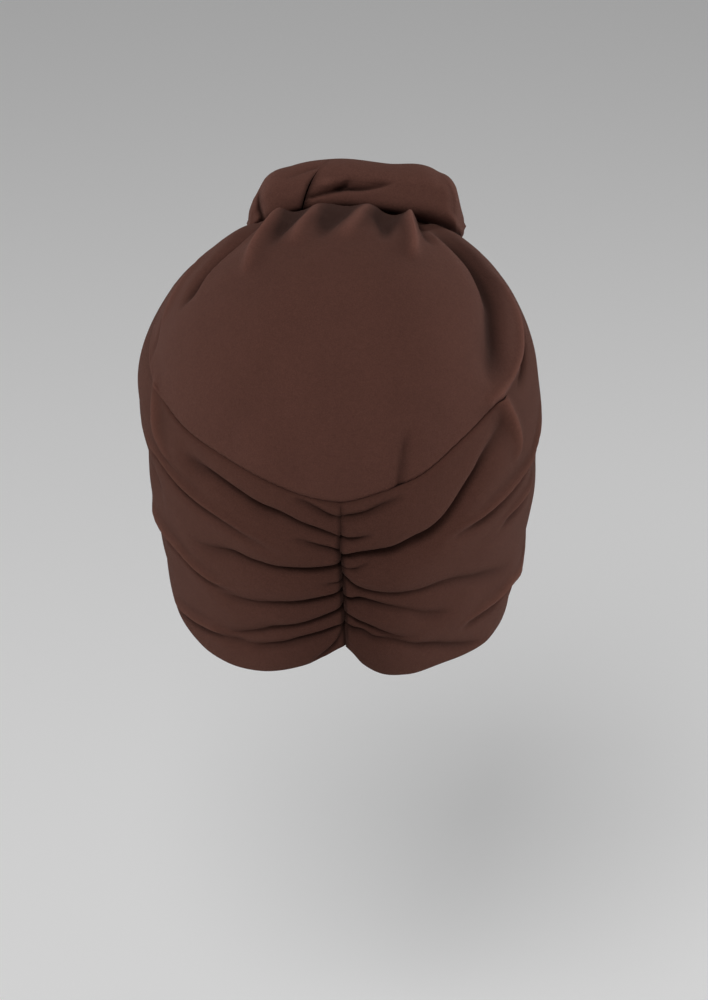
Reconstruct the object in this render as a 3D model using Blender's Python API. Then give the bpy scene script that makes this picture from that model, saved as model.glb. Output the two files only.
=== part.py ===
"""Ready-tied turban hat of jersey: a pleated crown, two draped band halves and a knot of two loops.

Metres in the scene, +Z up. The wearer faces -Y, the wearer's left is +X, and the origin is the inner
side of the crown where the top of the head touches it. The tables below are in millimetres and degrees.
A place on the hat is given as degrees of arc from the vertex, to the left and to the back, or as an
azimuth (0 is the back, 90 the wearer's left, 180 the front) with a share of the band's width.
"""

from collections import namedtuple

import bpy
import numpy as np

MM = 0.001

# Cloth
WALL = 2.0
SEAM_GAP = 0.4
LAP_CLEARANCE = 0.6

# Head form that the cloth follows: a rounded box-like dome on a tapering wall
ROUNDNESS = 2.2
HALF_WIDTH = 91.0
BACK_REACH = 98.0
FRONT_REACH = 104.0
DOME_RISE = 92.0
VERTEX_LEVEL = WALL
WIDEST_LEVEL = VERTEX_LEVEL - DOME_RISE
WALL_STEP = 1.6
WALL_HEIGHT = 88.0
TAPERS = {"side": (0.15, 1.25), "back": (0.17, 1.5), "front": (0.10, 1.5)}

# Seam between the crown and the band, and the hem, as levels by azimuth
SeamStation = namedtuple("SeamStation", "azimuth left right")
SEAM_STATIONS = [
    SeamStation(0, -100, -100),
    SeamStation(10, -97, -96),
    SeamStation(20, -91, -90),
    SeamStation(32, -83, -77),
    SeamStation(45, -76, -66),
    SeamStation(60, -66, -58),
    SeamStation(80, -54, -50),
    SeamStation(100, -42, -40),
    SeamStation(120, -28, -28),
    SeamStation(140, -16, -16),
    SeamStation(160, -10, -10),
    SeamStation(180, -8, -8),
]
HemStation = namedtuple("HemStation", "azimuth left right")
HEM_STATIONS = [
    HemStation(0, -174, -174),
    HemStation(6, -179, -182),
    HemStation(13, -184, -188),
    HemStation(22, -188, -190),
    HemStation(34, -190, -188),
    HemStation(48, -187, -187),
    HemStation(62, -181, -185),
    HemStation(76, -174, -182),
    HemStation(92, -166, -171),
    HemStation(110, -151, -151),
    HemStation(130, -126, -126),
    HemStation(150, -102, -102),
    HemStation(165, -87, -87),
    HemStation(180, -80, -80),
]

# Folds of the crown: a path through three places, its rise (negative for a valley), the breadth of its
# slopes, and the share of the rise at each of the three places
CrownFold = namedtuple("CrownFold", "name first middle last rise breadth shares")
CROWN_FOLDS = [
    CrownFold("pleat_1", (15, -26), (18, 2), (22, 22), 3.0, 4.0, (0.4, 1.0, 0.0)),
    CrownFold("pleat_2", (5, -26), (7, 2), (10, 19), 3.0, 4.0, (0.4, 1.0, 0.0)),
    CrownFold("pleat_3", (-7, -26), (-5, 2), (-3, 18), 3.0, 4.0, (0.4, 1.0, 0.0)),
    CrownFold("pleat_4", (-17, -26), (-18, 2), (-18, 22), 3.0, 4.0, (0.4, 1.0, 0.0)),
    CrownFold("gap_1", (10, -27), (12, -8), (15, 11), -8.0, 5.5, (1.0, 0.5, 0.0)),
    CrownFold("gap_2", (-1, -27), (-1, -14), (-1, -2), -7.5, 5.5, (1.0, 0.6, 0.0)),
    CrownFold("gap_3", (-12, -27), (-12, -8), (-12, 11), -9.0, 5.5, (1.0, 0.6, 0.0)),
    CrownFold("left_shoulder", (22, -14), (30, 11), (42, 26), 1.8, 6.0, (0.5, 1.0, 0.0)),
    CrownFold("left_valley", (26, -26), (35, 7), (51, 22), -6.5, 7.0, (1.0, 0.8, 0.0)),
    CrownFold("left_crease", (46, -8), (62, 2), (72, 12), 2.6, 9.0, (0.0, 0.9, 0.9)),
    CrownFold("right_shoulder", (-21, -14), (-27, 10), (-36, 30), 2.0, 6.0, (0.5, 1.0, 0.0)),
    CrownFold("right_valley", (-23, -22), (-41, 14), (-45, 54), -6.0, 7.5, (1.0, 0.9, 0.0)),
    CrownFold("right_crease", (-46, -8), (-60, 18), (-54, 52), 2.2, 6.5, (0.0, 0.6, 1.0)),
    CrownFold("soft_crease", (-25, 68), (-25, 80), (-24, 90), -1.6, 5.0, (0.0, 0.7, 1.0)),
]

# Folds of the band: from one azimuth and share of the band's width to another, how far the line bows
# between them, the rise, the breadth of the slopes above and below, and the share of the rise at either end
BandFold = namedtuple("BandFold", "side azimuth share to_azimuth to_share bow rise above below start end")
BAND_FOLDS = [
    BandFold("left", 0, 0.08, 12, 0.03, 0.0, -2.5, 3, 4, 1.0, 0.0),
    BandFold("left", 0, 0.19, 56, 0.08, 0.0, -7.0, 5, 8, 1.0, 0.1),
    BandFold("left", 0, 0.29, 14, 0.24, 0.0, -4.0, 3, 4, 1.0, 0.0),
    BandFold("left", 0, 0.44, 86, 0.40, 0.0, -7.5, 5, 9, 1.0, 0.7),
    BandFold("left", 0, 0.61, 84, 0.66, 0.0, -7.5, 5, 8, 1.0, 0.3),
    BandFold("left", 0, 0.74, 46, 0.80, 0.0, -7.0, 4, 6, 1.0, 0.0),
    BandFold("left", 0, 0.86, 36, 0.90, 0.0, -5.0, 4, 5, 1.0, 0.0),
    BandFold("left", 22, 0.32, 84, 0.25, -0.03, 2.4, 7, 4, 0.0, 0.0),
    BandFold("left", 50, 0.26, 104, 0.36, 0.0, -3.0, 12, 8, 0.0, 0.5),
    BandFold("left", 66, 0.08, 120, 0.14, 0.0, 3.2, 9, 12, 1.0, 0.5),
    BandFold("left", 30, 0.82, 78, 0.94, 0.0, 1.8, 8, 5, 0.0, 0.6),
    BandFold("right", 0, 0.09, 16, 0.05, 0.0, -3.0, 3, 4, 1.0, 0.0),
    BandFold("right", 0, 0.20, 14, 0.18, 0.0, -4.0, 3, 4, 1.0, 0.0),
    BandFold("right", 0, 0.34, 52, 0.04, 0.07, -9.0, 5, 9, 1.0, 0.2),
    BandFold("right", 0, 0.45, 8, 0.42, 0.0, -3.0, 3, 3, 1.0, 0.0),
    BandFold("right", 0, 0.54, 84, 0.77, 0.0, -7.0, 5, 8, 1.0, 0.3),
    BandFold("right", 0, 0.65, 30, 0.73, 0.0, -6.0, 4, 5, 1.0, 0.0),
    BandFold("right", 0, 0.74, 40, 0.92, 0.0, -6.0, 4, 6, 1.0, 0.0),
    BandFold("right", 0, 0.85, 16, 0.87, 0.0, -4.0, 3, 4, 1.0, 0.0),
    BandFold("right", 34, 0.35, 92, 0.42, 0.0, 2.8, 8, 5, 0.0, 0.8),
    BandFold("right", 40, 0.56, 100, 0.62, 0.0, 2.6, 14, 9, 0.0, 0.9),
    BandFold("right", 46, 0.80, 96, 0.77, 0.0, 4.4, 14, 10, 0.0, 0.9),
    BandFold("both", 70, 0.42, 176, 0.10, 0.0, -3.6, 7, 10, 0.2, 0.9),
    BandFold("both", 78, 0.62, 176, 0.30, 0.0, -3.6, 7, 10, 0.2, 0.8),
    BandFold("both", 88, 0.82, 176, 0.52, 0.0, -3.2, 7, 10, 0.1, 0.6),
]

# Gather at the centre back: how deep its stitched line lies, and how far it pulls the cloth in
GATHER_DEPTH = 6.0
GATHER_REACH = 7.0
GATHER_PUFF = 5.0
PUFF_REACH = 55.0
PUFF_LEFT_AT_SEAM = 0.25

# How round a band fold's profile is, and how quickly a fold fades past its ends
FOLD_SHARPNESS = 1.6
FADE_RATE = 6.0

# The left half of the band laps over the right one at the front
LAP_START = 150.0
LAP_FULL = 164.0
LEFT_END = (197.0, 174.0)
RIGHT_END = (184.0, 194.0)

# Knot: level and place of its sections from the wearer's right to left, half depth and half height
KnotSection = namedtuple("KnotSection", "across back level half_depth half_height")
KNOT_SECTIONS = [
    KnotSection(-57, -56, -20, 10, 7),
    KnotSection(-53, -59, -14, 20, 12),
    KnotSection(-44, -62, -9, 24, 14),
    KnotSection(-22, -64, -7, 26, 15),
    KnotSection(4, -65, -6, 23, 14),
    KnotSection(22, -64, -9, 25, 15),
    KnotSection(34, -62, -12, 22, 13),
    KnotSection(43, -57, -19, 12, 8),
]
KNOT_TILT = 27.0
KNOT_CROSSING = 3.0
KNOT_SLANT = 13.0
KNOT_CREASES = 5
KNOT_CREASE_DEPTH = 1.6
KNOT_CREASE_TURN = 3.0
KNOT_CLEARANCE = 3.4
KNOT_CLOSING = 0.16

# Spread of the crown's columns at its front edge and along the seam, and how the rows crowd to its edges
CROWN_FRONT_SPREAD = 38.0
CROWN_SEAM_SPREAD = 132.0
ROW_CROWDING = 0.06

# Mesh fineness
CROWN_COLUMNS = 40
CROWN_ROWS = 22
BAND_COLUMNS = 40
BAND_ROWS = 19
BAND_CROWDING = 1.45
KNOT_RINGS = 15
KNOT_SIDES = 26

# Colours, roughness
CROWN_COLOUR = (0.074, 0.032, 0.025, 1.0)
BAND_COLOUR = (0.062, 0.027, 0.021, 1.0)
KNOT_COLOUR = (0.070, 0.031, 0.025, 1.0)
CLOTH_ROUGHNESS = 0.9


def smooth_step(value):
    value = np.clip(value, 0.0, 1.0)
    return value * value * (3.0 - 2.0 * value)


def smooth_table(at, stations, values):
    """Smooth curve through a short table, with level ends."""
    stations = np.asarray(stations, float)
    values = np.asarray(values, float)
    slopes = np.gradient(values, stations)
    slopes[0] = 0.0
    slopes[-1] = 0.0
    at = np.clip(at, stations[0], stations[-1])
    cell = np.clip(np.searchsorted(stations, at, side="right") - 1, 0, len(stations) - 2)
    length = stations[cell + 1] - stations[cell]
    t = (at - stations[cell]) / length
    return (
        (2 * t**3 - 3 * t**2 + 1) * values[cell]
        + (t**3 - 2 * t**2 + t) * length * slopes[cell]
        + (3 * t**2 - 2 * t**3) * values[cell + 1]
        + (t**3 - t**2) * length * slopes[cell + 1]
    )


def form_point(left, back):
    """Point of the smooth outer form, at degrees of arc from the vertex to the left and to the back."""
    arc = np.hypot(left, back)
    azimuth = np.arctan2(left, back)
    tilt = np.radians(np.minimum(arc, 90.0))
    spread = np.sin(tilt) ** (2 / ROUNDNESS)
    drop = np.maximum(arc - 90.0, 0.0) * WALL_STEP
    level = WIDEST_LEVEL + DOME_RISE * np.cos(tilt) ** (2 / ROUNDNESS) - drop
    reach = {}
    for name, size in (("side", HALF_WIDTH), ("back", BACK_REACH), ("front", FRONT_REACH)):
        amount, power = TAPERS[name]
        reach[name] = size * (1.0 - amount * (drop / WALL_HEIGHT) ** power)
    along = np.where(np.cos(azimuth) > 0, reach["back"], reach["front"])
    squareness = np.abs(np.sin(azimuth) / reach["side"]) ** ROUNDNESS
    squareness = squareness + np.abs(np.cos(azimuth) / along) ** ROUNDNESS
    radius = spread * squareness ** (-1 / ROUNDNESS)
    return np.stack([radius * np.sin(azimuth), radius * np.cos(azimuth), level], -1)


def form_normal(left, back):
    """Outward direction of the smooth form there."""
    step = 0.5
    across = form_point(left + step, back) - form_point(left - step, back)
    along = form_point(left, back + step) - form_point(left, back - step)
    normal = np.cross(across, along)
    return normal / np.linalg.norm(normal, axis=-1, keepdims=True)


def arc_of_level(level):
    """Degrees of arc from the vertex down to a level."""
    up = np.clip((level - WIDEST_LEVEL) / DOME_RISE, 0.0, 1.0)
    below = np.maximum(WIDEST_LEVEL - level, 0.0) / WALL_STEP
    return np.degrees(np.arccos(up ** (ROUNDNESS / 2))) + below


def fold_back(azimuth):
    """Azimuth between -180 and 180."""
    return (np.asarray(azimuth, float) + 180.0) % 360.0 - 180.0


def edge_arc(azimuth, stations):
    """Degrees of arc from the vertex down to the seam or the hem."""
    azimuth = fold_back(azimuth)
    places = [s.azimuth for s in stations]
    left = smooth_table(np.abs(azimuth), places, [s.left for s in stations])
    right = smooth_table(np.abs(azimuth), places, [s.right for s in stations])
    return arc_of_level(np.where(azimuth > 0, left, right))


def on_map(azimuth, arc):
    turn = np.radians(azimuth)
    return arc * np.sin(turn), arc * np.cos(turn)


def fold_path(fold, steps=14):
    """Points of the smooth form along a crown fold's path, a curve through its three places."""
    t = np.linspace(0.0, 1.0, steps)[:, None]
    first, middle, last = (np.array(p, float) for p in (fold.first, fold.middle, fold.last))
    handle = 2.0 * middle - 0.5 * (first + last)
    places = (1 - t) ** 2 * first + 2 * t * (1 - t) * handle + t**2 * last
    return form_point(places[:, 0], places[:, 1])


def distance_to_path(points, path):
    """Distance of each point to a path, and how far along the path it is, from 0 to 1."""
    best = np.full(points.shape[:-1], np.inf)
    along = np.zeros(points.shape[:-1])
    runs = len(path) - 1
    for i in range(runs):
        run = path[i + 1] - path[i]
        t = np.clip(((points - path[i]) @ run) / (run @ run), 0.0, 1.0)
        gap = np.linalg.norm(points - path[i] - t[..., None] * run, axis=-1)
        nearer = gap < best
        best = np.where(nearer, gap, best)
        along = np.where(nearer, (i + t) / runs, along)
    return best, along


def crown_relief(left, back):
    """Rise of the crown's cloth over the smooth form."""
    points = form_point(left, back)
    rise = np.zeros(points.shape[:-1])
    for fold in CROWN_FOLDS:
        gap, along = distance_to_path(points, fold_path(fold))
        share = smooth_table(along, (0.0, 0.5, 1.0), fold.shares)
        rise += fold.rise * share * np.exp(-((gap / fold.breadth) ** 2))
    return rise


def band_relief(side, azimuth, share, width):
    """Rise of the band's cloth over the smooth form, with the folds pulled in at the centre back."""
    turned = np.abs(fold_back(azimuth))
    rise = np.zeros(np.broadcast(azimuth, share).shape)
    for fold in BAND_FOLDS:
        if fold.side not in (side, "both"):
            continue
        t = (turned - fold.azimuth) / (fold.to_azimuth - fold.azimuth)
        run = np.clip(t, 0.0, 1.0)
        line = fold.share + (fold.to_share - fold.share) * run + fold.bow * 4.0 * run * (1.0 - run)
        strength = fold.start + (fold.end - fold.start) * smooth_step(t)
        strength = strength * smooth_step(1.0 + t * FADE_RATE) * smooth_step(1.0 + (1.0 - t) * FADE_RATE)
        below = (share - line) * width
        breadth = np.where(below < 0, fold.above, fold.below)
        rise += fold.rise * strength * np.exp(-((np.abs(below) / breadth) ** FOLD_SHARPNESS))
    from_seam = turned * np.radians(1.0) * BACK_REACH
    middle = np.sin(np.pi * share) ** 0.5
    puff = GATHER_PUFF * np.exp(-((from_seam / PUFF_REACH) ** 2)) * middle
    pull = np.exp(-((from_seam / GATHER_REACH) ** 1.3))
    return (rise + puff) * (1.0 - (1.0 - PUFF_LEFT_AT_SEAM) * pull) - GATHER_DEPTH * pull * middle


def make_shell(name, outer, inner, colour):
    """Closed body between an outer and an inner grid of points, with its edges joined."""
    rows, columns = outer.shape[:2]
    count = rows * columns
    index = np.arange(count).reshape(rows, columns)
    faces = []
    for i in range(rows - 1):
        for j in range(columns - 1):
            quad = [index[i, j], index[i, j + 1], index[i + 1, j + 1], index[i + 1, j]]
            faces.append(quad)
            faces.append([count + k for k in reversed(quad)])
    edge = list(index[0, :]) + list(index[1:, -1]) + list(index[-1, -2::-1]) + list(index[-2:0:-1, 0])
    for a, b in zip(edge, edge[1:] + edge[:1]):
        faces.append([b, a, count + a, count + b])
    points = np.concatenate([outer.reshape(-1, 3), inner.reshape(-1, 3)])
    return make_object(name, points, faces, colour)


def make_object(name, points, faces, colour):
    mesh = bpy.data.meshes.new(name)
    mesh.from_pydata([tuple(p * MM) for p in points], [], [tuple(int(k) for k in f) for f in faces])
    mesh.validate()
    mesh.shade_smooth()
    made = bpy.data.objects.new(name, mesh)
    bpy.context.scene.collection.objects.link(made)
    mesh.materials.append(cloth_material(name + "_cloth", colour))
    return made


def cloth_material(name, colour):
    material = bpy.data.materials.new(name)
    material.use_nodes = True
    shader = material.node_tree.nodes["Principled BSDF"]
    shader.inputs["Base Color"].default_value = colour
    shader.inputs["Roughness"].default_value = CLOTH_ROUGHNESS
    shader.inputs["Metallic"].default_value = 0.0
    material.diffuse_color = colour
    return material


def make_crown():
    """Crown panel: columns fan out from its gathered front edge to the U-shaped seam."""
    column = np.linspace(-1.0, 1.0, CROWN_COLUMNS + 1)
    row = np.linspace(0.0, 1.0, CROWN_ROWS + 1)[:, None]
    row = row - ROW_CROWDING * np.sin(2 * np.pi * row)
    front_azimuth = 180.0 - column * CROWN_FRONT_SPREAD
    seam_azimuth = column * CROWN_SEAM_SPREAD
    gap = SEAM_GAP / 2 / WALL_STEP
    front = on_map(front_azimuth, edge_arc(front_azimuth, SEAM_STATIONS) - gap)
    seam = on_map(seam_azimuth, edge_arc(seam_azimuth, SEAM_STATIONS) - gap)
    left = front[0] + (seam[0] - front[0]) * row
    back = front[1] + (seam[1] - front[1]) * row
    normal = form_normal(left, back)
    outer = form_point(left, back) + normal * crown_relief(left, back)[..., None]
    return make_shell("crown_panel", outer, outer - normal * WALL, CROWN_COLOUR)


def make_band(side):
    """Half of the band: columns go round from the centre back to the lap at the front."""
    turn = 1.0 if side == "left" else -1.0
    ends = LEFT_END if side == "left" else RIGHT_END
    share = np.linspace(0.0, 1.0, BAND_ROWS + 1)[:, None]
    column = np.linspace(0.0, 1.0, BAND_COLUMNS + 1) ** BAND_CROWDING
    start = np.degrees(SEAM_GAP / 2 / BACK_REACH)
    azimuth = turn * (start + (ends[0] + (ends[1] - ends[0]) * share - start) * column)
    top = edge_arc(azimuth, SEAM_STATIONS) + SEAM_GAP / 2 / WALL_STEP
    reach = edge_arc(azimuth, HEM_STATIONS) - top
    left, back = on_map(azimuth, top + reach * share)
    width = reach * WALL_STEP
    normal = form_normal(left, back)
    rise = band_relief(side, azimuth, share, width)
    if side == "left":
        lap = smooth_step((azimuth - LAP_START) / (LAP_FULL - LAP_START))
        rise = rise + (WALL + LAP_CLEARANCE) * lap
    outer = form_point(left, back) + normal * rise[..., None]
    if side == "right":
        outer, normal = outer[:, ::-1], normal[:, ::-1]
    return make_shell("band_" + side, outer, outer - normal * WALL, BAND_COLOUR)


def knot_surface(across, turn):
    """Point of the knot's smooth roll at a distance across and a turn about its length."""
    stations = [s.across for s in KNOT_SECTIONS]
    sizes = {
        field: smooth_table(across, stations, [getattr(s, field) for s in KNOT_SECTIONS])
        for field in KnotSection._fields[1:]
    }
    depth = sizes["half_depth"] * np.cos(turn)
    height = sizes["half_height"] * np.sin(turn)
    tilt = np.radians(KNOT_TILT)
    back = sizes["back"] + depth * np.cos(tilt) - height * np.sin(tilt)
    level = sizes["level"] + depth * np.sin(tilt) + height * np.cos(tilt)
    return np.stack(np.broadcast_arrays(across, back, level), -1)


def lift_clear(points):
    """Move points that would sink into the hat out to the clearance over the smooth form."""
    x, y = points[..., 0], points[..., 1]
    along = np.where(y > 0, BACK_REACH, FRONT_REACH)
    base = np.array([0.0, 0.0, WIDEST_LEVEL])
    offset = points - base
    size = (
        np.abs(x / HALF_WIDTH) ** ROUNDNESS
        + np.abs(y / along) ** ROUNDNESS
        + np.abs(offset[..., 2] / DOME_RISE) ** ROUNDNESS
    ) ** (1 / ROUNDNESS)
    least = 1.0 + KNOT_CLEARANCE / DOME_RISE
    return base + offset * np.maximum(1.0, least / size)[..., None]


def make_knot(side):
    """One padded loop of the knot, a roll that ends rounded outside and slanted at the crossing."""
    turn = np.linspace(0.0, 2 * np.pi, KNOT_SIDES, endpoint=False)
    sign = 1.0 if side == "left" else -1.0
    crossing = KNOT_CROSSING + KNOT_SLANT * np.cos(turn) + sign * SEAM_GAP
    tip = KNOT_SECTIONS[-1].across if side == "left" else KNOT_SECTIONS[0].across
    rings = []
    for t in np.linspace(0.0, 1.0, KNOT_RINGS + 1)[1:-1]:
        ease = 0.5 - 0.5 * np.cos(np.pi * t)
        across = crossing + (tip - crossing) * ease
        surface = knot_surface(across, turn)
        middle = surface.mean(axis=0)
        closing = min(1.0, (t / KNOT_CLOSING) ** 0.5, ((1.0 - t) / KNOT_CLOSING) ** 0.5)
        crease = KNOT_CREASE_DEPTH * np.cos(KNOT_CREASES * turn + sign * KNOT_CREASE_TURN * t)
        size = np.linalg.norm(surface - middle, axis=-1, keepdims=True)
        shape = middle + (surface - middle) * (closing * (1.0 + crease[:, None] / size))
        shape[:, 0] = across
        rings.append(lift_clear(shape))
    points = [p for ring in rings for p in ring]
    poles = [rings[0].mean(axis=0), rings[-1].mean(axis=0)]
    poles[1][0] = tip + sign * 1.0
    points += poles
    count = len(rings) * KNOT_SIDES
    faces = []
    for k in range(KNOT_SIDES):
        after = (k + 1) % KNOT_SIDES
        faces.append([count, after, k])
        for i in range(len(rings) - 1):
            here = i * KNOT_SIDES
            beyond = here + KNOT_SIDES
            faces.append([here + k, here + after, beyond + after, beyond + k])
        last = (len(rings) - 1) * KNOT_SIDES
        faces.append([count + 1, last + k, last + after])
    if side == "right":
        faces = [f[::-1] for f in faces]
    return make_object("knot_" + side, np.array(points), faces, KNOT_COLOUR)


def main():
    for old in list(bpy.data.objects):
        bpy.data.objects.remove(old, do_unlink=True)
    make_crown()
    for side in ("left", "right"):
        make_band(side)
        make_knot(side)


main()
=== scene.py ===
"""Looks of the turban hat: dark brown jersey, a pleated crown, a draped band ruched at the centre back
and a knot of two padded loops.

The scene is in metres, +Z up. The wearer faces -Y and the wearer's left is +X. The sizes and tables up
to the mesh fineness are in millimetres and degrees, unless a comment says otherwise. The smooth form,
the seam and the hem are the CAD part's own.
"""

import math
from collections import namedtuple

import bpy
import numpy as np
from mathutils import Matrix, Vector


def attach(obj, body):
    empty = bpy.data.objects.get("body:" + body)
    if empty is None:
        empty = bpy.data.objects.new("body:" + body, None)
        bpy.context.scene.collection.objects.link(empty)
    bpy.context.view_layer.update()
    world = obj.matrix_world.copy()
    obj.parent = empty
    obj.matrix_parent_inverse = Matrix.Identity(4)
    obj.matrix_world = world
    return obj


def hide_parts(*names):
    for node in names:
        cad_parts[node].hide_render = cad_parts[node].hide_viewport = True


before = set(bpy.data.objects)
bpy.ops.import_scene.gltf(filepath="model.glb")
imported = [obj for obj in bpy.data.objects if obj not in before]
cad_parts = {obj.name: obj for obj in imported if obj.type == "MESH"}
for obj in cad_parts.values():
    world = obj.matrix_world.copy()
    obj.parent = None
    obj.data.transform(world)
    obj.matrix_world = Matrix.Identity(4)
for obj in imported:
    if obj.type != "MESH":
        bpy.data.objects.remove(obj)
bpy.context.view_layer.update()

MM = 0.001


def table(columns, rows):
    """Rows of a short table with named columns."""
    row = namedtuple("Row", columns)
    return [row(*values) for values in rows]


# Smooth form under the cloth: a rounded dome over walls that taper by a share of their reach. A degree
# of arc is one wall step down the cloth.
ROUNDNESS = 2.2
HALF_WIDTH = 91
BACK_REACH = 98
FRONT_REACH = 104
DOME_RISE = 92
WIDEST_LEVEL = -90
WALL_STEP = 1.6
WALL_HEIGHT = 88
Taper = namedtuple("Taper", "share power")
TAPERS = {"side": Taper(0.15, 1.25), "back": Taper(0.17, 1.5), "front": Taper(0.10, 1.5)}

# Jersey, its turned hem, and a seam allowance, which is shallow near the hem by share of the width
CLOTH = 1.3
HEM_CLOTH = 2.2
HEM_TURN = 14
HEM_STEP = 0.6
ALLOWANCE = (0.2, 0.7, 1.8, 3.2, 4.8)
ALLOWANCE_AT_HEM = 0.1
ALLOWANCE_HEM_REACH = 0.05
EDGE_TURNS = (25, 50, 78)

# Stitched seam between the crown and the band: its dip and puckers, and the azimuths from which it fades
# under smooth cloth, where the folds go on past it
SEAM_DEPTH = 1.4
SEAM_BREADTH = 0.75
SEAM_POWER = 1.3
SEAM_FADE_LEFT = 50
SEAM_FADE_RIGHT = 43
SEAM_FADE_REACH = 9
CARRY_REACH = 14
[SEAM_PUCKER] = table("height rate sway sway_rate reach", [(0.18, 2.6, 2, 0.31, 5)])

# Share of the length at which an extra row of the grid keeps the seam's edge crisp
CRISP_SHARE = 0.0012

# Slow unevenness of the cloth, in waves. Those of the band climb to the front with its folds, and each
# of its sides has its own seed. Along its seam the cloth is calm.
CROWN_WAVES = table("height length seed", [(0.3, 26, 3), (0.12, 9, 5)])
KNOT_WAVES = table("height length seed", [(0.5, 18, 21)])
KNOT_WAVE_ROUND = (1.4, 2)
BAND_WAVES = table("height degrees over_width left right", [(0.5, 17, 9, 11, 12), (0.15, 8, 17, 13, 14)])
WAVE_START = 20
BAND_WAVE_START = (30, 4)
CROWN_CALM = 8
BAND_CALM = 0.06
CLIMB = 0.35
CLIMB_START = 60
CLIMB_REACH = 110

# Painted shade in folds and painted highlight on ridges: the depth below the smoothed surroundings at which
# the shade is deepest, and how much darker it is there
PAINTED_SHADING_DEPTH = 2.6
SPREAD_TIMES = 50
PAINTED_FOLD_SHADING = 0.70

# Shade between the pleats under the knot: where it ends and over what reach, its share on level cloth,
# and the rise over which it goes
[KNOT_SHADE] = table("tone back back_reach side side_reach level rise", [
    (0.95, 13, 14, 22.5, 4, 0.7, 2.4),
])

# Seam between the crown and the band, and the hem, as levels by azimuth from the centre back
SEAM_STATIONS = table("azimuth left right", [
    (0, -100, -100),
    (10, -97, -96),
    (20, -91, -90),
    (32, -83, -77),
    (45, -76, -66),
    (60, -66, -58),
    (80, -54, -50),
    (100, -42, -40),
    (120, -28, -28),
    (140, -16, -16),
    (160, -10, -10),
    (180, -8, -8),
])
HEM_STATIONS = table("azimuth left right", [
    (0, -174, -174),
    (6, -179, -182),
    (13, -184, -188),
    (22, -188, -190),
    (34, -190, -188),
    (48, -187, -187),
    (62, -181, -185),
    (76, -174, -182),
    (92, -166, -171),
    (110, -151, -151),
    (130, -126, -126),
    (150, -102, -102),
    (165, -87, -87),
    (180, -80, -80),
])

# A fold: the places that its line passes, the rise at each (negative for a valley), the breadth of its
# slopes at the first and the last place, the ratio of its two sides, and how flat its profile is. A
# ridge's crest is rounded, and a fold ends at so many times its breadth.
Fold = namedtuple("Fold", "places rises near far skew power")
RIDGE_ROUNDING = 0.9
FOLD_REACH = 4

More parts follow.
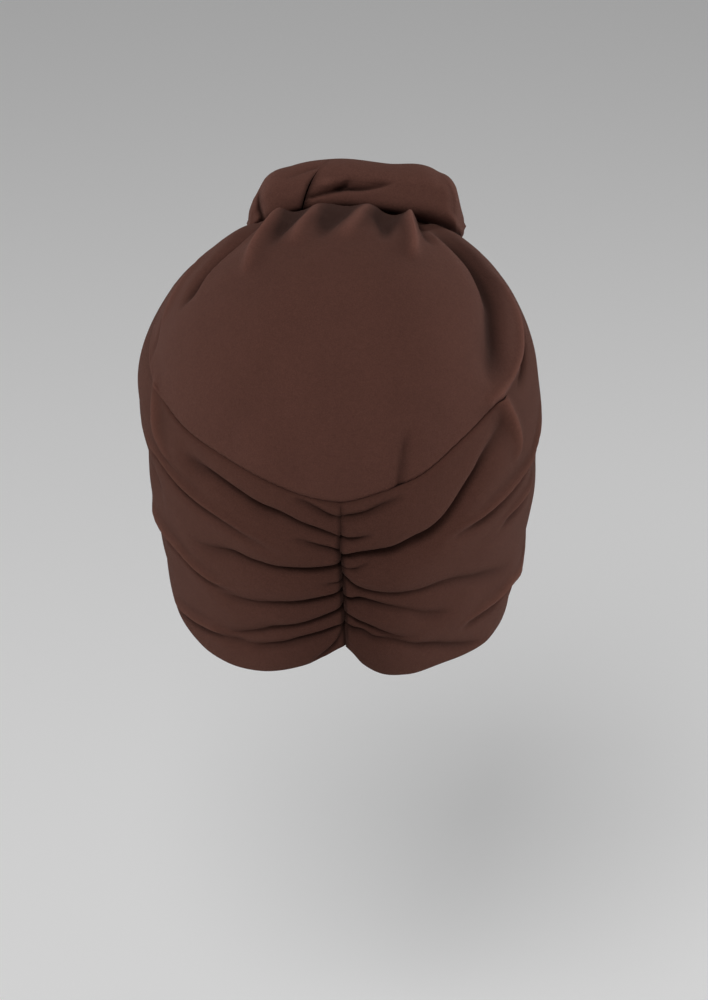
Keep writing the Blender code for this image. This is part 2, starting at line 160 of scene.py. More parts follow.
# Crown folds, at degrees of arc from the vertex to the left and to the back
CROWN_FOLDS = {
    "right_outer": Fold(
        ((-50, -4), (-57, 4.5), (-62, 13), (-64.3, 23.5), (-64.7, 33), (-62, 43.5)),
        (0, -2.4, -3.6, -3.4, -2.6, 0), 2.4, 2.4, 1, 1.4),
    "left_dent": Fold(((22, -26), (29, -19), (36, -14), (43, -8)), (-2, -5.4, -5, -1.6), 8, 7, 1, 2),
    "pleat_1": Fold(
        ((11.5, -26), (13.5, -18), (15.5, -8), (18, 3), (21.5, 13), (24, 22), (25.5, 28)),
        (-1, 2, 4.4, 4.6, 3.4, 1.5, 0), 1.5, 2.3, 0.8, 1.2),
    "pleat_2": Fold(
        ((3, -26), (4, -18), (5.3, -7), (7.5, 3), (10, 12), (12, 19)),
        (-2, -0.4, 1.5, 3.2, 2.6, 0), 1.5, 2.6, 0.8, 1.2),
    "pleat_3": Fold(
        ((-7, -26), (-6.5, -18), (-5.5, -7), (-4, 2), (-2, 11), (-0.5, 18)),
        (-2, -0.4, 1.5, 3.2, 2.6, 0), 1.5, 2.6, 0.8, 1.2),
    "pleat_4": Fold(
        ((-17, -26), (-17, -18), (-17, -7), (-17.3, 4), (-17.8, 15), (-18, 23)),
        (-2, 1, 3.4, 4.4, 3.6, 0), 1.4, 1.6, 1.3, 1.2),
    "gap_1": Fold(
        ((8, -28), (9, -18), (10.5, -8), (13, 2), (15.5, 11), (17.5, 18)),
        (-1.8, -1.8, -2, -2.4, -1.6, 0), 6.6, 2.6, 1, 2.4),
    "gap_2": Fold(
        ((-2, -28), (-1.3, -18), (-0.2, -8), (1.6, 2), (3.6, 11), (5, 17)),
        (-2, -2, -2.2, -2.6, -1.6, 0), 6.6, 2.6, 1, 2.4),
    "gap_3": Fold(
        ((-12, -28), (-11.8, -18), (-11.3, -7), (-10.8, 3), (-10.5, 11), (-10, 17)),
        (-3.4, -3.4, -3.8, -3.8, -2, 0), 6.2, 2.6, 1, 2.4),
    "gap_4": Fold(
        ((-21.5, -28), (-21.8, -16), (-22, -6), (-22.5, 5), (-23.5, 14)),
        (-3, -3, -3.4, -2.4, 0), 3.4, 2.5, 1, 2),
    "front_dent": Fold(
        ((26, -34), (33, -27), (41, -22), (47, -16), (54, -10)),
        (0, -3.2, -3, -2.2, 0), 7, 7, 1, 2),
    "left_shoulder": Fold(
        ((14, -10), (21, 3), (29, 8), (37, 16), (45, 24)),
        (0.4, 2.2, 2.8, 2, 0), 2.4, 3.6, 0.9, 1.2),
    "left_valley": Fold(
        ((18, -20), (22, -7), (28, 2.5), (35, 9), (43, 15.5), (51, 23)),
        (-6, -7, -8, -7.5, -5, 0), 6, 4.2, 1.4, 1.5),
    "left_crest": Fold(
        ((34, -14), (43, 0), (49, 4), (54, 9.5), (59, 13), (66, 20)),
        (0, 1.2, 1.8, 2, 1.4, 0), 2.4, 2.6, 1, 1.15),
    "left_outer": Fold(
        ((40, -16), (48, -3), (53, 3), (58.5, 9), (63, 16), (69, 25)),
        (0, -3.4, -3.6, -2.8, -1.6, 0), 2, 2.2, 1, 1.3),
    "right_shoulder": Fold(
        ((-18, -12), (-23, 2), (-28.5, 10.5), (-34, 19.5), (-38, 30), (-40, 42)),
        (0.3, 0.7, 0.6, 0.3, 0.1, 0), 2.8, 4, 0.9, 1.3),
    "right_valley": Fold(
        ((-24, -20), (-29.5, -8), (-37, 0.5), (-43.5, 8), (-48, 18), (-50, 29), (-50.5, 38), (-49, 46),
         (-48.5, 54)),
        (-4.5, -5.6, -7.4, -7.6, -7.2, -6.8, -5.4, -2.8, 0), 8.5, 8.5, 0.76, 1.9),
    "right_crest": Fold(
        ((-45, -2), (-52, 6), (-57.2, 14.5), (-59.4, 24.5), (-59.6, 32.5), (-57.7, 41.5), (-55, 48),
         (-52, 54)),
        (0, 1.6, 2.8, 3.2, 3.2, 3, 2.8, 2), 1.8, 2, 0.8, 1.1),
    "soft_crease": Fold(
        ((-23.5, 72), (-23.3, 79), (-23.5, 87), (-24, 93)),
        (0, -1.5, -1.9, -1.4), 3.2, 3.2, 1.5, 1.3),
}

# Painted shade over the broad valley on the crown's right, as a share
VALLEY_SHADE = Fold(
    ((-23, -20), (-34.5, -6.5), (-43, 3), (-47, 12), (-48.5, 22), (-48.8, 31), (-48, 40), (-46, 49)),
    (0, 0.5, 0.58, 0.5, 0.44, 0.4, 0.32, 0), 7.5, 8.5, 1, 2.4,
)

# Edge of a lobe of cloth, and the drop under it: how deep against the edge's rise, how far below it as a
# share of the band's width, and the drop's profile. A profile is a fold's near, far, skew and power.
LOBE_PROFILE = (2, 2, 0.62, 1.1)
UNDERCUT = 1.05
UNDERCUT_SHIFT = 0.034
UNDERCUT_PROFILE = (3, 3.4, 1.5, 1.5)

# Band folds, at degrees round from the centre back and shares of the band's width
LEFT_FOLDS = {
    "valley_1": Fold(
        ((0, 0.095), (3, 0.082), (6, 0.055), (9.5, 0.03), (14, 0.02)),
        (-2.4, -4, -4, -2.8, 0), 2.4, 2.6, 1.3, 1.4),
    "valley_2": Fold(
        ((0, 0.227), (2, 0.208), (6, 0.182), (10, 0.165), (15, 0.146), (21, 0.148), (27, 0.127), (35, 0.103),
         (41, 0.094), (48, 0.084)),
        (-3, -4.5, -5.5, -5.5, -6.5, -7.5, -7.2, -6, -4, 0), 2.4, 6, 1.4, 1.5),
    "valley_3": Fold(
        ((0, 0.33), (2, 0.299), (6, 0.272), (10, 0.25), (15, 0.24)),
        (-4, -4.5, -4, -2.4, 0), 2, 2.2, 1.2, 1.3),
    "valley_4": Fold(
        ((0, 0.425), (3, 0.427), (7, 0.426), (12, 0.426), (18, 0.433), (24, 0.43), (30, 0.424), (38, 0.444),
         (48, 0.452)),
        (-8.5, -9, -8.5, -7, -6, -5.5, -5, -3, 0), 2.5, 4.8, 1.35, 1.12),
    "valley_4b": Fold(((0, 0.532), (3, 0.526), (8, 0.51)), (-2.8, -2.8, 0), 1.5, 1.5, 1.1, 1.3),
    "valley_5": Fold(
        ((0, 0.61), (4.5, 0.616), (9, 0.62), (16, 0.628), (23, 0.639), (32, 0.642), (42, 0.65)),
        (-8, -7.5, -6.5, -5.5, -4.5, -3, 0), 2.5, 4.6, 1.25, 1.12),
    "valley_6": Fold(
        ((0, 0.735), (3, 0.75), (7, 0.755), (13, 0.768), (20, 0.779), (27, 0.805), (35, 0.832), (44, 0.847)),
        (-7.5, -7.5, -7, -6, -5.5, -4.5, -3, 0), 2.3, 4.2, 1.2, 1.12),
    "valley_7": Fold(
        ((0, 0.85), (2.4, 0.852), (6.6, 0.851), (12, 0.856), (18, 0.87), (24, 0.878), (30, 0.876),
         (40, 0.865)),
        (-4.5, -5.5, -6, -6, -5.5, -4.5, -2.8, 0), 2.1, 3.8, 1.2, 1.12),
    "hem_step": Fold(
        ((0, 0.86), (2, 0.93), (4.6, 0.958), (7, 0.972), (11, 1)),
        (-2.4, -3.2, -3, -2.2, 0), 2, 2, 1.8, 1.6),
    "lobe_a": Fold(
        ((72, 0.225), (62, 0.21), (57, 0.198), (50, 0.209), (44.5, 0.222), (37, 0.237), (28, 0.257),
         (21, 0.278), (14, 0.3)),
        (0, 3.2, 3.9, 3.9, 3.6, 3, 2.4, 1.4, 0), *LOBE_PROFILE),
    "lobe_b": Fold(
        ((82, 0.6), (72, 0.585), (62, 0.57), (53, 0.559), (44, 0.576), (38, 0.583), (29, 0.575)),
        (0, 3.4, 4.2, 3.9, 3.4, 2.2, 0), *LOBE_PROFILE),
    "lobe_c": Fold(
        ((78, 0.97), (65, 0.925), (54, 0.885), (44, 0.85), (36, 0.84), (29, 0.83)),
        (0, 2.8, 3.6, 3.2, 2.2, 0), *LOBE_PROFILE),
    "crest": Fold(
        ((62, 0), (59, 0.05), (57, 0.11), (53, 0.14), (46, 0.165)),
        (1.4, 2.6, 2.6, 1.8, 0), 2, 2, 1, 1.1),
    "side_ridge": Fold(
        ((50, 0.07), (76, 0.09), (110, 0.13), (140, 0.1)),
        (0, 2.6, 1.4, 0), 10, 10, 1.1, 1.8),
    "side_4": Fold(
        ((56, 0.4), (86, 0.43), (120, 0.32), (150, 0.21), (176, 0.12), (200, 0.06)),
        (0, -6.2, -4.2, -4, -5, -5), 4.6, 6.5, 1.3, 1.3),
    "side_5": Fold(
        ((60, 0.65), (86, 0.66), (120, 0.54), (150, 0.41), (176, 0.31), (200, 0.24)),
        (0, -2.6, -3, -3.5, -4, -4), 5, 6.5, 1.3, 1.3),
    "side_6": Fold(
        ((60, 0.8), (90, 0.84), (120, 0.73), (150, 0.62), (176, 0.53), (200, 0.47)),
        (0, -2.2, -3, -3, -3.5, -3.5), 5, 7, 1.2, 1.4),
    "side_notch": Fold(
        ((56, 0.38), (70, 0.385), (80, 0.36), (98, 0.34)),
        (0, -4.6, -5.4, 0), 6.5, 6.5, 1, 2),
    "front_1": Fold(((84, 0.24), (104, 0.2), (130, 0.12), (158, 0.05)), (0, -2.4, -2.5, 0), 6, 6, 1.2, 1.4),
    "front_2": Fold(
        ((104, 0.46), (140, 0.32), (174, 0.22), (200, 0.15)),
        (0, -2.4, -3, -3), 4, 3.4, 1.2, 1.3),
    "front_3": Fold(
        ((116, 0.64), (150, 0.51), (176, 0.42), (200, 0.35)),
        (0, -2.2, -3, -3), 4.5, 3.6, 1.2, 1.3),
    "front_4": Fold(
        ((120, 0.88), (150, 0.78), (178, 0.66), (200, 0.58)),
        (0, -2.2, -2.6, -2.6), 5, 5, 1.2, 1.3),
}
RIGHT_FOLDS = {
    "valley_1": Fold(
        ((0, 0.088), (2, 0.09), (6.6, 0.082), (11, 0.064), (14, 0.055), (19, 0.05)),
        (-2.4, -4, -4, -3.2, -2, 0), 2.6, 3, 1.3, 1.5),
    "valley_2": Fold(
        ((0, 0.228), (3.6, 0.225), (6.6, 0.207), (10, 0.194)),
        (-3.8, -3.8, -2.2, 0), 2, 2.2, 1.2, 1.3),
    "valley_3": Fold(
        ((0, 0.362), (1.5, 0.358), (4.5, 0.335), (9, 0.324), (13.5, 0.319), (18, 0.306), (23, 0.303),
         (27.5, 0.286), (31.5, 0.25), (35, 0.207), (39.5, 0.155), (44, 0.116), (47.5, 0.083), (50.5, 0.06)),
        (-6, -7, -8, -8.5, -8.5, -8.5, -9, -9, -8.4, -7.2, -5.6, -3.6, -1.8, 0), 2.6, 7.2, 1.2, 1.6),
    "valley_4": Fold(
        ((0, 0.44), (3.8, 0.419), (6.8, 0.387), (10, 0.367)),
        (-3.4, -3.4, -2.2, 0), 1.6, 1.8, 1.1, 1.3),
    "valley_5": Fold(
        ((0, 0.509), (1, 0.52), (3, 0.544), (7, 0.542), (12.5, 0.544), (20, 0.556), (26, 0.57), (34, 0.605),
         (42.5, 0.65), (54, 0.695), (66, 0.72)),
        (-7.5, -8, -8, -6.5, -5, -4.2, -3.8, -3.8, -3.4, -2, 0), 2.4, 5, 1.3, 1.12),
    "valley_6": Fold(
        ((0, 0.667), (1.5, 0.665), (4.7, 0.63), (9.5, 0.618), (15.3, 0.627), (20.5, 0.655), (28.5, 0.715),
         (38, 0.76)),
        (-7.5, -8, -7.5, -6, -4.5, -3.4, -2.6, 0), 2.2, 4.2, 1.2, 1.12),
    "valley_7": Fold(
        ((0, 0.782), (1.5, 0.783), (4.8, 0.763), (9, 0.758), (13.2, 0.767), (18, 0.785), (25, 0.8)),
        (-7, -7.5, -7, -6, -4.5, -2.6, 0), 2, 3.2, 1.15, 1.12),
    "valley_8": Fold(
        ((0, 0.855), (1.5, 0.857), (5.7, 0.816), (10, 0.816), (17, 0.814), (27, 0.868), (37, 0.929),
         (47, 0.966), (58, 0.989)),
        (-4.5, -5, -5, -4.5, -3.4, -3.6, -3.6, -2.6, 0), 1.8, 3.6, 1.15, 1.12),
    "lobe_a": Fold(
        ((84, 0.21), (72, 0.268), (66, 0.315), (56, 0.334), (47, 0.347), (40, 0.355), (33.6, 0.347),
         (27, 0.345)),
        (0, 3.2, 3.9, 3.9, 3.8, 3, 1.6, 0), *LOBE_PROFILE),
    "lobe_b": Fold(((82, 0.45), (68, 0.45), (58.5, 0.45), (46, 0.47)), (0, 2.8, 2.8, 0), *LOBE_PROFILE),
    "lobe_c": Fold(
        ((94, 0.8), (78, 0.812), (64, 0.79), (56, 0.808), (45, 0.815), (37, 0.82)),
        (0, 3.2, 3.9, 3.6, 2.2, 0), *LOBE_PROFILE),
    "crest": Fold(
        ((46, -0.03), (49.5, 0.044), (52.7, 0.14), (54, 0.2), (52, 0.25)),
        (2.8, 3.4, 3.2, 2, 0), 2, 2, 0.8, 1.1),
    "side_ridge": Fold(((44, 0.8), (74, 0.78), (98, 0.77), (130, 0.64)), (0, 1.6, 3, 0), 12, 11, 0.85, 1.8),
    "side_swell": Fold(((40, 0.56), (70, 0.59), (100, 0.6), (124, 0.52)), (0, 0.6, 2, 0), 11, 11, 0.8, 1.8),
    "side_3": Fold(
        ((62, 0.39), (86, 0.41), (120, 0.3), (150, 0.2), (176, 0.1)),
        (0, -3, -3.4, -4, -5), 5.5, 7, 1.25, 1.4),
    "side_5": Fold(
        ((72, 0.7), (92, 0.73), (120, 0.63), (150, 0.5), (176, 0.38)),
        (0, -2.4, -3, -3.5, -4), 5, 6.5, 1.3, 1.3),
    "front_1": Fold(((78, 0.2), (104, 0.17), (130, 0.1), (158, 0.04)), (0, -2.4, -2.5, 0), 6, 6, 1.2, 1.4),
    "front_2": Fold(
        ((80, 0.57), (120, 0.46), (150, 0.35), (176, 0.24)),
        (0, -2.8, -3, -3.4), 5.5, 4.4, 1.2, 1.3),
    "front_3": Fold(((110, 0.8), (150, 0.66), (178, 0.54)), (0, -2.2, -3), 5.5, 4.6, 1.2, 1.3),
}

# Gather at the centre back, by share of the band's width: depth of its groove and sideways wander
GATHER_STATIONS = table("share depth wander", [
    (0.00, 0.8, 0.0),
    (0.12, 1.4, -0.3),
    (0.28, 2.0, 0.2),
    (0.40, 2.8, -0.4),
    (0.55, 3.6, -0.9),
    (0.70, 3.6, -1.4),
    (0.85, 3.2, -1.9),
    (1.00, 2.0, -2.3),
])

# Groove against that depth, broad basin, puff and puckers beside the gather, and how far each half passes
# the middle
GATHER_GROOVE = 1.25
GATHER_REACH = 1.7
GATHER_POWER = 1.1
GATHER_BASIN = 1.6
BASIN_REACH = 13
GATHER_PUFF = 5
PUFF_REACH = 55
[GATHER_PUCKER] = table("height waves sway sway_rate reach power", [(0.22, 30, 3, 19, 11, 1.5)])
WANDER_REACH = 16
HALF_OVERLAP = 0.03

# Painted shade over the gather: its strength, the share of it at the top, and the painted shade in the
# crease where the halves meet
GATHER_SHADE = 0.50
GATHER_SHADE_TOP = 0.35
GATHER_SHADE_REACH = 30
CREASE_SHADE_REACH = 1.5
CREASE_SHADE_FULL_DEPTH = 3.2

# Droop: raised cloth hangs lower, but not at the seam and the hem, by share of the band's width
DROOP = 0.24
DROOP_LEVEL = 3
DROOP_FROM_SEAM = 0.08
DROOP_FROM_HEM = 0.06

# At the front the left half of the band laps over the right one, which follows its folds there. A half
# ends at one azimuth at the seam and at another at the hem.
LAP_CLEARANCE = 0.6
CAD_WALL = 2
LAP_START = 150
LAP_FULL = 164
UNDER_LAP_REACH = 9
UNDER_LAP_LEAD = 0.6
UNDER_LAP_PRESS = 0.5
BAND_ENDS = {"left": (197, 174), "right": (184, 194)}

# Knot: level and place of its sections from the wearer's right to left, half depth and half height
KNOT_SECTIONS = table("across back level half_depth half_height", [
    (-57, -56, -19, 11, 8),
    (-53, -59, -13.5, 20, 12),
    (-44, -62, -9, 24, 14),
    (-22, -64, -7, 26, 15),
    (4, -65, -5, 24, 15),
    (22, -64, -8, 25, 15.5),
    (35, -62, -12.5, 23, 14),
    (43, -58, -18.5, 14, 9.5),
])
KNOT_TILT = 27
KNOT_SQUARENESS = 3.8
KNOT_TIP_BULGE = 1

# Clearance over the smooth form, less than nothing where the knot is pressed into the gathered crown,
# and the power of the soft change to it
KNOT_CLEARANCE = -3.2
KNOT_SOFTNESS = 34

# Crossing of the loops: its place, which slants with the turn round the loop, and the turns at which the
# loops lie shut against each other
KNOT_CROSSING = 8
KNOT_SLANT = 9.5
KNOT_SLANT_TURN = 50
KNOT_GAP = 0.15
KNOT_OVERLAP = 0.25
KNOT_SHUT_TURN = 52
KNOT_SHUT_SPREAD = 22
KNOT_SHUT_FADE = 34
KNOT_SHUT = 0.12
# Reach of the painted shade in the crease at the crossing
CROSSING_SHADE_REACH = 1.7

# Shares of a loop's length over which it rounds out from the crossing and from its tip
KNOT_EDGE = {"left": 0.06, "right": 0.035}
KNOT_TIP = 0.16

# Pinch at the front of the crossing
KNOT_PINCH = 4.5
KNOT_PINCH_REACH = 11
KNOT_PINCH_TURN = 142
KNOT_PINCH_SPREAD = 75

# Knot folds, at millimetres to the wearer's left and degrees round the loop from its back. On the flat
# cloth a degree is KNOT_ROUND millimetres.
KNOT_ROUND = 0.36
KNOT_FOLDS = {
    "right": {
        "crease": Fold(
            ((13, -26), (5, -21), (-1, -16), (-9, -14), (-18, -4), (-26, 8)),
            (-2.6, -4, -5.5, -4.5, -3, 0), 1.3, 2, 0.6, 1.3),
        "pocket": Fold(((-4, 2), (-2, -8), (1, -16)), (-0.5, -3.6, -3), 1.6, 1.6, 1, 1.5),
        "tongue": Fold(((12, -2), (6, -4), (1, -2)), (0.4, 1.6, 0.6), 2.6, 2.4, 1, 1.6),
        "end": Fold(((-46, 44), (-51, 12), (-52, -24)), (0, -1.6, -2), 3, 3, 1, 1.5),
        "top": Fold(((4, 118), (-14, 104), (-32, 92), (-50, 88)), (-6, -4.2, -2.6, 0), 2.6, 4.5, 1.2, 1.3),
        "front": Fold(
            ((2, 142), (-16, 138), (-34, 134), (-50, 140)),
            (-6, -4.4, -2.8, 0), 2.6, 4.5, 1.2, 1.3),
        "low": Fold(((0, 166), (-18, 172), (-36, 180), (-50, 188)), (-6, -4.2, -2.6, 0), 2.6, 4.5, 1.2, 1.3),
    },
    "left": {
        "end": Fold(
            ((38, 66), (38, 31), (37.5, -7), (36, -38), (35, -60)),
            (-0.5, -4, -5.5, -5.5, -3), 1.2, 1.4, 0.9, 1.3),
        "back": Fold(((12, 34), (20, 26), (30, 20)), (-2, -1.4, 0), 2.4, 4, 1.2, 1.3),
        "top": Fold(((2, 112), (14, 104), (26, 94), (38, 90)), (-6, -4.2, -2.4, 0), 2.6, 4.5, 0.85, 1.3),
        "front": Fold(((0, 140), (13, 136), (26, 132), (38, 134)), (-6, -4.4, -2.6, 0), 2.6, 4.5, 0.85, 1.3),
        "low": Fold(((0, 164), (13, 170), (26, 178), (38, 186)), (-6, -4.2, -2.4, 0), 2.6, 4.5, 0.85, 1.3),
    },
}

# Mesh fineness
CROWN_COLUMNS = 250
CROWN_ROWS = 180
BAND_COLUMNS = 240
BAND_ROWS = 170
KNOT_RINGS = 110
KNOT_SIDES = 210

# Spread of the crown's columns at its front edge and along the seam, and the crowding of the band's
# columns towards the centre back
CROWN_FRONT_SPREAD = 38
CROWN_SEAM_SPREAD = 132
BAND_CROWDING = 1.7

# Jersey: colours, roughness, and the mottling of its tone at scales by the metre, as shares
# The crown, band and knot are one jersey: the knot's colour is lighter as painted light, the band's darker
# as painted shade
COLOURS = {
    "crown": (0.0868, 0.0366, 0.0275),
    "band": (0.0755, 0.0316, 0.0232),
    "knot": (0.103, 0.0443, 0.0335),
}
JERSEY = {
    "Roughness": 0.92,
    "Sheen Weight": 0.06,
    "Sheen Roughness": 0.5,
    "Sheen Tint": (1, 0.55, 0.45, 1),
    "Specular IOR Level": 0.06,
}
MOTTLES = table("scale detail share", [(28, 2, 0.10), (420, 3, 0.16), (1700, 1, 0.50)])
TONE_BASE = 0.62
KNIT_TONE = 0.03

# Knit: the width of a wale in metres, a stitch's height against it, the lean of the stitches in radians,
# and the shares of stitches and wales in the relief. The pile is noise of a scale and a detail.
RIB = 0.00075
STITCH_RATIO = 0.75
STITCH_LEAN = 2.2
STITCH_SHARE = 0.35
WALE_SHARE = 0.6
KNIT_BUMP = {"Strength": 0.55, "Distance": 0.00022}
PILE_BUMP = {"Strength": 0.5, "Distance": 0.0004}
PILE = (650, 4)

# Photograph's frame and the camera that took it, behind the hat and a little above, in metres, degrees
# and pixels, with the sensor in millimetres. The aim is seen at the given pixel.
FRAME_WIDTH, FRAME_HEIGHT = 708, 1000
CAMERA_DISTANCE = 1.5
CAMERA_ELEVATION = 20
CAMERA_FOCAL = 3297
AIM = (0, 0, -0.083)
AIM_PIXEL = (341, 395)
SENSOR = 36

# Studio, in metres and watts
FLOOR_LEVEL = -0.50
FLOOR_RADIUS = 14
FLOOR_PAINT = {"Base Color": (0.93, 0.93, 0.93, 1), "Roughness": 0.9}
WORLD_LIGHT = 0.32
LAMPS = table("place energy size", [
    ((0.38, 1.95, 1.5), 31.5, 0.9),
    ((0, -0.5, 2.3), 5, 1),
    ((2.1, -0.7, -0.28), 13.5, 0.6),
    ((-2.1, -0.6, -0.24), 24, 0.6),
])
LAMP_AIM = (0, 0, -0.09)


def add_object(name, data):
    made = bpy.data.objects.new(name, data)
    bpy.context.scene.collection.objects.link(made)
    return made


# Camera
def make_camera():
    elevation = math.radians(CAMERA_ELEVATION)
    back = Vector((0.0, math.cos(elevation), math.sin(elevation)))
    right = (-back).cross(Vector((0.0, 0.0, 1.0))).normalized()
    up = right.cross(-back)
    per_pixel = CAMERA_DISTANCE / CAMERA_FOCAL
    aim = Vector(AIM)
    aim -= right * (AIM_PIXEL[0] - FRAME_WIDTH / 2) * per_pixel
    aim += up * (AIM_PIXEL[1] - FRAME_HEIGHT / 2) * per_pixel
    data = bpy.data.cameras.new("camera")
    camera = add_object("camera", data)
    camera.location = aim + back * CAMERA_DISTANCE
    camera.rotation_euler = (-back).to_track_quat("-Z", "Y").to_euler()
    data.sensor_fit = "AUTO"
    data.sensor_width = SENSOR
    data.lens = CAMERA_FOCAL * SENSOR / FRAME_HEIGHT
    data.clip_start = 0.05
    data.clip_end = 50.0
    bpy.context.scene.camera = camera


# Curves and noise
def smooth_step(value):
    value = np.clip(value, 0.0, 1.0)
    return value * value * (3.0 - 2.0 * value)


def hermite(t, start, end, start_slope, end_slope):
    """Cubic from one value to the next, with its slopes over the whole step."""
    return (
        (2 * t**3 - 3 * t**2 + 1) * start
        + (t**3 - 2 * t**2 + t) * start_slope
        + (3 * t**2 - 2 * t**3) * end
        + (t**3 - t**2) * end_slope
    )


def smooth_table(at, stations, values):
    """Smooth curve through a short table, with level ends."""
    stations = np.asarray(stations, float)
    values = np.asarray(values, float)
    slopes = np.gradient(values, stations)
    slopes[0] = 0.0
    slopes[-1] = 0.0
    at = np.clip(at, stations[0], stations[-1])
    cell = np.clip(np.searchsorted(stations, at, side="right") - 1, 0, len(stations) - 2)
    length = stations[cell + 1] - stations[cell]
    t = (at - stations[cell]) / length
    return hermite(t, values[cell], values[cell + 1], length * slopes[cell], length * slopes[cell + 1])


def look_up(at, rows, column):
    """Smooth value of a table's column, by its first column."""
    return smooth_table(at, [row[0] for row in rows], [getattr(row, column) for row in rows])


def bell(distance, reach, power=2):
    return np.exp(-((distance / reach) ** power))


def soft_noise(u, v, seed):
    """Smooth noise from -1 to 1 with cells one unit wide."""
    count = 64
    heights = np.random.default_rng(seed).uniform(-1.0, 1.0, (count, count))
    i, j = np.floor(u).astype(int), np.floor(v).astype(int)
    a, b = smooth_step(u - i), smooth_step(v - j)

    def corner(di, dj):
        return heights[(i + di) % count, (j + dj) % count]

    low = corner(0, 0) * (1 - a) + corner(1, 0) * a
    high = corner(0, 1) * (1 - a) + corner(1, 1) * a
    return low * (1 - b) + high * b


def wrapped(degrees):
    """Angle brought to the turn from -180 to 180."""
    return (np.asarray(degrees, float) + 180.0) % 360.0 - 180.0


def unit(vectors):
    return vectors / np.maximum(np.linalg.norm(vectors, axis=-1, keepdims=True), 1e-9)


# Smooth form
def form_point(left, back):
    """Point of the smooth outer form, at degrees of arc from the vertex to the left and to the back."""
    arc = np.hypot(left, back)
    azimuth = np.arctan2(left, back)
    tilt = np.radians(np.minimum(arc, 90.0))
    spread = np.sin(tilt) ** (2 / ROUNDNESS)
    drop = np.maximum(arc - 90.0, 0.0) * WALL_STEP
    level = WIDEST_LEVEL + DOME_RISE * np.cos(tilt) ** (2 / ROUNDNESS) - drop
    reach = {}
    for name, size in (("side", HALF_WIDTH), ("back", BACK_REACH), ("front", FRONT_REACH)):
        taper = TAPERS[name]
        reach[name] = size * (1.0 - taper.share * (drop / WALL_HEIGHT) ** taper.power)
    along = np.where(np.cos(azimuth) > 0, reach["back"], reach["front"])
    squareness = np.abs(np.sin(azimuth) / reach["side"]) ** ROUNDNESS
    squareness = squareness + np.abs(np.cos(azimuth) / along) ** ROUNDNESS
    radius = spread * squareness ** (-1 / ROUNDNESS)
    return np.stack([radius * np.sin(azimuth), radius * np.cos(azimuth), level], -1)


def form_normal(left, back):
    step = 0.5
    across = form_point(left + step, back) - form_point(left - step, back)
    along = form_point(left, back + step) - form_point(left, back - step)
    return unit(np.cross(across, along))


def arc_of_level(level):
    """Degrees of arc from the vertex down to a level."""
    up = np.clip((level - WIDEST_LEVEL) / DOME_RISE, 0.0, 1.0)
    below = np.maximum(WIDEST_LEVEL - level, 0.0) / WALL_STEP
    return np.degrees(np.arccos(up ** (ROUNDNESS / 2))) + below


def edge_arc(azimuth, stations):
    """Degrees of arc from the vertex down to the seam or the hem."""
    azimuth = wrapped(azimuth)
    left, right = (look_up(np.abs(azimuth), stations, side) for side in ("left", "right"))
    return arc_of_level(np.where(azimuth > 0, left, right))


def on_map(azimuth, arc):
    """Degrees of arc to the left and to the back of a place given by azimuth and arc."""
    turn = np.radians(azimuth)
    return arc * np.sin(turn), arc * np.cos(turn)


# Folds
def fold_line(places, steps=8):
    """Smooth line through a fold's places, and how far along its places each point is."""
    places = np.asarray(places, float)
    last = len(places) - 1
    along = np.linspace(0.0, last, last * steps + 1)
    cell = np.clip(along.astype(int), 0, last - 1)
    line = []
    for values in places.T:
        slopes = np.gradient(values)
        line.append(hermite(along - cell, values[cell], values[cell + 1], slopes[cell], slopes[cell + 1]))
    return np.stack(line, -1), along


def fold_rise(u, v, fold, places):
    """Rise that one fold gives to cloth at (u, v) millimetres on its flat map."""
    line, along = fold_line(places)
    rise = np.zeros(u.shape)
    reach = FOLD_REACH * max(fold.near, fold.far) * max(fold.skew, 1 / fold.skew)
    close = (u > line[:, 0].min() - reach) & (u < line[:, 0].max() + reach)
    close &= (v > line[:, 1].min() - reach) & (v < line[:, 1].max() + reach)
    if not close.any():
        return rise
    points = np.stack([u[close], v[close]], -1)
    best = np.full(len(points), np.inf)
    place = np.zeros(len(points))
    side = np.ones(len(points))
    for start, end, a, b in zip(line[:-1], line[1:], along[:-1], along[1:]):
        run = end - start
        offset = points - start
        t = np.clip(offset @ run / (run @ run), 0.0, 1.0)
        gap = np.hypot(*(offset - t[:, None] * run).T)
        nearer = gap < best
        best = np.where(nearer, gap, best)
        place = np.where(nearer, a + (b - a) * t, place)
        cross = run[0] * offset[:, 1] - run[1] * offset[:, 0]
        side = np.where(nearer, np.where(cross > 0, 1.0, -1.0), side)
    height = smooth_table(place, np.arange(len(fold.rises)), fold.rises)
    breadth = fold.near + (fold.far - fold.near) * place / (len(fold.rises) - 1)
    breadth = breadth * np.where(side > 0, fold.skew, 1.0 / fold.skew)
    rounding = np.where(height > 0, RIDGE_ROUNDING, 0.0)
    gap = np.sqrt(best**2 + rounding**2) - rounding
    rise[close] = height * bell(gap, breadth, fold.power)
    return rise


def crown_fold(left, back, fold):
    """Rise that one fold gives, at degrees of arc to the left and to the back."""
    return fold_rise(left * WALL_STEP, back * WALL_STEP, fold, np.array(fold.places) * WALL_STEP)


def crown_folds(left, back):
    rise = np.zeros(left.shape)
    for fold in CROWN_FOLDS.values():
        rise = rise + crown_fold(left, back, fold)
    return rise


